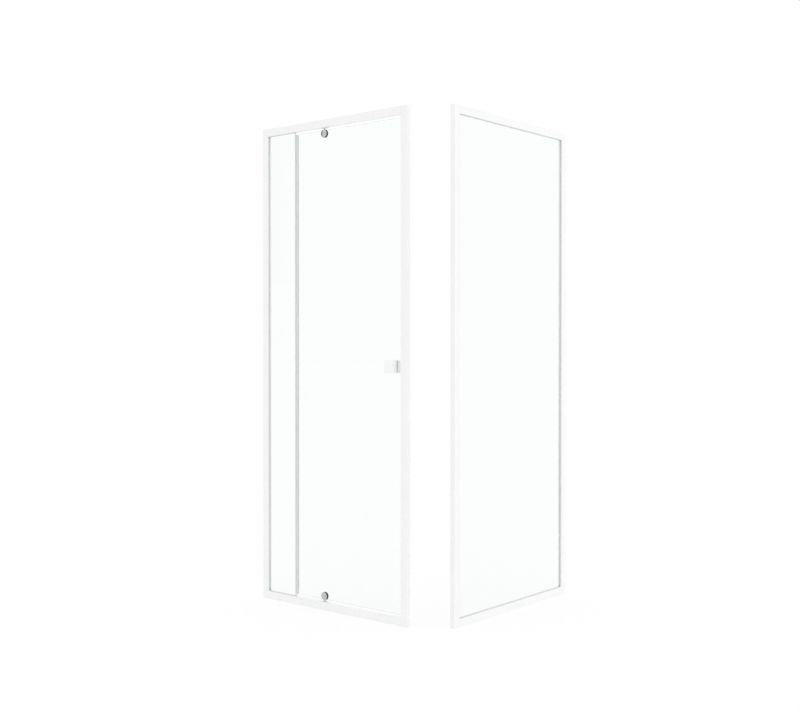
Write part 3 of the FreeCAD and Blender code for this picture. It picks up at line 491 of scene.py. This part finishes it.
# A plate on each rail carries a white acetal bush, in which the leaf's pin turns.
# The plate is a steel blank, coated as the frame is, and two small pan head screws hold it to the rail.
PLATES = ("head_pivot_plate", "sill_pivot_plate")
BUSHES = ("head_pivot_bush", "sill_pivot_bush")
UPSIDE_DOWN = Matrix.Rotation(math.radians(180), 4, "X")
LOW_HEAD = [(0, 0), (2.7, 0), (2.7, 0.3), (2.55, 0.7), (2.2, 1.02), (1.8, 1.2)]
SMALL_SHARE = 0.68
SMALL_CROSS = [(x * SMALL_SHARE, y * SMALL_SHARE) for x, y in CROSS]
SMALL_CROSS_DEPTH = 0.8
PLATE_SCREW_LENGTH = 17.2
SMALL_THREAD = {"radius": 1.5, "pitch": 1.0}
PLATE_SCREWS_ALONG = (346, 367)
SILL_PLATE_TOP = 33.5
HEAD_PLATE_UNDERSIDE = 1966.5
dress(powder_coat, *PLATES)
white_acetal = new_finish(
    "white_acetal", fine_grain, {"Cells": 2000},
    dark=(0.74, 0.735, 0.71), light=(0.8, 0.795, 0.775), smooth=0.3, rough=0.4, relief=0.000005,
)
dress(white_acetal, *BUSHES)
plate_screw = headed_screw(
    "plate_screw", LOW_HEAD, SMALL_CROSS, SMALL_CROSS_DEPTH, PLATE_SCREW_LENGTH, **SMALL_THREAD
)
spots = []
for along in PLATE_SCREWS_ALONG:
    spots.append(in_panel(FRONT, along, 0, SILL_PLATE_TOP))
    spots.append(in_panel(FRONT, along, 0, HEAD_PLATE_UNDERSIDE, UPSIDE_DOWN))
mesh = set_out("plate_screw_set", plate_screw, spots)
new_piece("plate_screw_set", mesh, zinc_steel, "frame", "steel", "pivot_plate_screws")

# The strip on the leaf's left edge is extruded from pale grey PVC, with a thin fin behind the fixed pane.
# Light soaks a little way into it, and it grips the glass by its own spring.
smoke_strip = new_finish(
    "smoke_strip", drawn_lines, {"Closeness": UPRIGHT_LINES},
    dark=(0.61, 0.642, 0.635), light=(0.66, 0.692, 0.685), smooth=0.3, rough=0.4, relief=0.00001,
    plain={"Subsurface Weight": 1, "Subsurface Radius": (1, 1, 1), "Subsurface Scale": 0.005},
)
dress(smoke_strip, "leaf_edge_seal")

# Pin blocks sit in the notches of the leaf's glass, and their pins turn in the bushes.
# They are cast in zinc and left bare, with a dull, faintly mottled skin.
BLOCKS = ("bottom_pivot_block", "top_pivot_block")
cast_zinc = new_finish(
    "cast_zinc", fine_grain, {"Cells": 1200},
    dark=(0.4, 0.405, 0.41), light=(0.5, 0.505, 0.515), smooth=0.36, rough=0.5, relief=0.00001,
    plain={"Metallic": 1},
)
dress(cast_zinc, *BLOCKS)

# Thin round clamps of dark nylon grip the glass through soft washers. Their near-black also serves as
# painted shade round each chrome cap's rim.
# They are moulded with a fine matt grain, and a small socket screw draws each pair together.
CLAMPS = [f"{end}_pivot_clamp_{side}" for end in ("bottom", "top") for side in ("outer", "inner")]
PIVOT_ALONG = 356.5
PIVOT_LEVELS = {"bottom": 56.5, "top": 1943.5}
FLAT_HEAD = [(0, 0), (3, 0), (3, 1), (2.85, 1.35), (2.5, 1.5)]
SOCKET_RADIUS = 1.3
SOCKET_CORNERS = [math.tau * corner / 6 for corner in range(6)]
SOCKET = [(SOCKET_RADIUS * math.cos(a), SOCKET_RADIUS * math.sin(a)) for a in SOCKET_CORNERS]
SOCKET_DEPTH = 1
CLAMP_SCREW_LENGTH = 9.2
CLAMP_SCREW_SEAT = 4.6
FINE_THREAD = {"radius": 1.5, "pitch": 0.6}
# The clamps' near-black is partly painted shade, the dark band seen round each chrome cap's rim.
dark_nylon = new_finish(
    "dark_nylon", fine_grain, {"Cells": 3000},
    dark=(0.03, 0.031, 0.033), light=(0.042, 0.043, 0.046), smooth=0.42, rough=0.56, relief=0.00002,
)
dress(dark_nylon, *CLAMPS)
soft_washer = new_finish(
    "soft_washer", fine_grain, {"Cells": 1500},
    dark=(0.05, 0.051, 0.052), light=(0.07, 0.071, 0.072), smooth=0.55, rough=0.7, relief=0.00001,
)
dress(soft_washer, "pivot_gaskets")
clamp_screw = headed_screw(
    "clamp_screw", FLAT_HEAD, SOCKET, SOCKET_DEPTH, CLAMP_SCREW_LENGTH, **FINE_THREAD
)
spots = [
    in_panel(FRONT, PIVOT_ALONG, CLAMP_SCREW_SEAT, level, POINTING_OUT) for level in PIVOT_LEVELS.values()
]
mesh = set_out("clamp_screw_set", clamp_screw, spots)
new_piece("clamp_screw_set", mesh, zinc_steel, "leaf", "steel", "pivot_clamp_screws")

# A cap of polished chrome snaps over each clamp's boss and hides the screw.
# It is pressed from sheet, with a very slightly domed face and a tightly rolled rim.
CAP_FACE = 7.0
CAP_DOME = 180
CAP_RADIUS = 16
FACE_RADIUS = 15.5
FACE_RINGS = 10
RIM_DROP = 0.3
RIM_RINGS = 6
CAP_INSIDE = [(15.2, 6), (15.2, 6.2), (0, 6.2)]
CAP_SEGMENTS = 64
POINTING_IN = Matrix.Rotation(math.radians(90), 4, "X")
chrome = new_finish(
    "chrome", fine_grain, {"Cells": 400},
    dark=(0.53, 0.535, 0.54), light=(0.55, 0.555, 0.56), smooth=0.03, rough=0.08, relief=0.0000002,
    plain={"Metallic": 1},
)
outline = []
for step in range(FACE_RINGS + 1):
    radius = FACE_RADIUS * step / FACE_RINGS
    outline.append((radius, CAP_FACE - radius ** 2 / (2 * CAP_DOME)))
rim_top = outline[-1][1]
for step in range(1, RIM_RINGS + 1):
    angle = math.radians(90 * step / RIM_RINGS)
    reach = FACE_RADIUS + (CAP_RADIUS - FACE_RADIUS) * math.sin(angle)
    outline.append((reach, rim_top - RIM_DROP * (1 - math.cos(angle))))
outline += CAP_INSIDE
bm = bmesh.new()
turned(bm, outline, CAP_SEGMENTS)
cap_blank = blank_mesh("cap_blank", bm)
for end, level in PIVOT_LEVELS.items():
    for side, turn in (("outer", POINTING_IN), ("inner", POINTING_OUT)):
        name = f"{end}_chrome_cap_{side}"
        mesh = set_out(name, cap_blank, [in_panel(FRONT, PIVOT_ALONG, 0, level, turn)])
        new_piece(name, mesh, chrome, "leaf", "chrome", f"{end}_pivot_cap_{side}")

# The handle is a pair of solid blocks, one each side of the glass, in a smoother white than the frame.
# A threaded stud joins them through a hole in the glass, and a grub screw locks it.
# Soft pads spare the glass.
HANDLE_ALONG = 722.5
STUD_LEVEL = 1000
STUD_END = 17.2
STUD = {"radius": 3, "length": 34.4, "pitch": 1.0}
GRUB_ACROSS = 10.5
GRUB_FOOT = 986.7
GRUB = {"radius": 2.5, "length": 10, "pitch": 0.8}
COLLAR_FOOT = -0.6
ROD_DRIVE_DEPTH = 0.5
white_satin = new_finish(
    "white_satin", fine_grain, {"Cells": 1600},
    dark=(0.88, 0.882, 0.88), light=(0.895, 0.896, 0.894), smooth=0.28, rough=0.36, relief=0.00001,
)
dress(white_satin, "handle_outer", "handle_inner")
soft_pad = new_finish(
    "soft_pad", fine_grain, {"Cells": 1500},
    dark=(0.5, 0.51, 0.51), light=(0.56, 0.57, 0.57), smooth=0.5, rough=0.65, relief=0.00001,
)
dress(soft_pad, "handle_pads")


def socket_rod(name, radius, length, pitch):
    """Headless screw that points down from its drive at the origin."""
    collar = radius - THREAD_DEPTH * pitch
    bm = bmesh.new()
    rings = turned(bm, [(collar, COLLAR_FOOT), (collar, 0)], HEAD_SEGMENTS)
    sunk_drive(bm, rings[-1], SOCKET, ROD_DRIVE_DEPTH)
    threaded(bm, radius, -length, -TUCK, pitch)
    return blank_mesh(name, bm)


stud_place = in_panel(FRONT, HANDLE_ALONG, STUD_END, STUD_LEVEL, POINTING_OUT)
mesh = set_out("handle_stud_threaded", socket_rod("stud_blank", **STUD), [stud_place])
new_piece("handle_stud_threaded", mesh, zinc_steel, "leaf", "steel", "handle_stud")
grub_place = in_panel(FRONT, HANDLE_ALONG, GRUB_ACROSS, GRUB_FOOT, UPSIDE_DOWN)
mesh = set_out("handle_grub_threaded", socket_rod("grub_blank", **GRUB), [grub_place])
new_piece("handle_grub_threaded", mesh, zinc_steel, "leaf", "steel", "handle_grub_screw")
